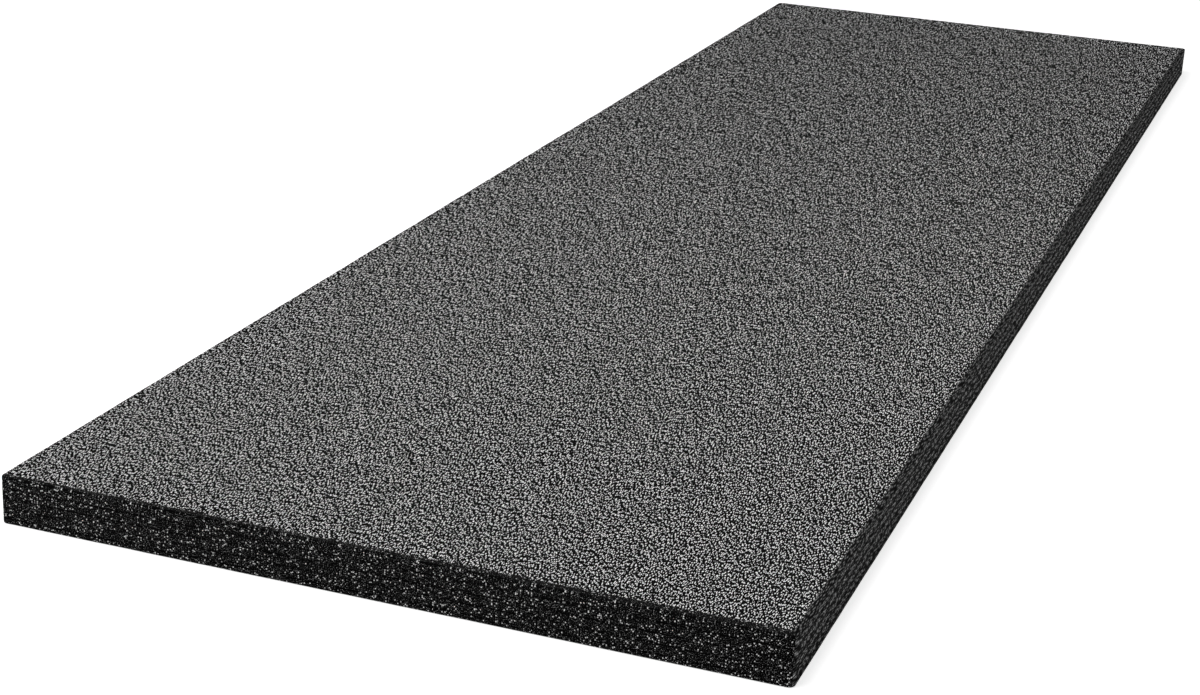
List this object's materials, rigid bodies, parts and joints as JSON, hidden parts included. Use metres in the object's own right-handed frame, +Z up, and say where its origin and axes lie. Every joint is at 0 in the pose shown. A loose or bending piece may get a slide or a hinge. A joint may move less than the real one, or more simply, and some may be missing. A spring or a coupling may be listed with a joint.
{
  "type": "polyethylene foam sheet",
  "caption": "Flat rectangular sheet of dark closed-cell polyethylene foam with eased edges and welded ply seams, for packing, padding and lining.",
  "frame": {"origin": "centre of the underside", "axes": "+X across the width, +Y along the length away from the end that faces the viewer, +Z up through the thickness"},
  "size_m": [0.4064, 1.3716, 0.0254],
  "materials": {
    "foam": "matte charcoal closed-cell foam, speckled with fine cells on the faces and nearly black on the cut sides"
  },
  "bodies": {
    "root": {"foam_sheet": "foam"}
  },
  "joints": []
}
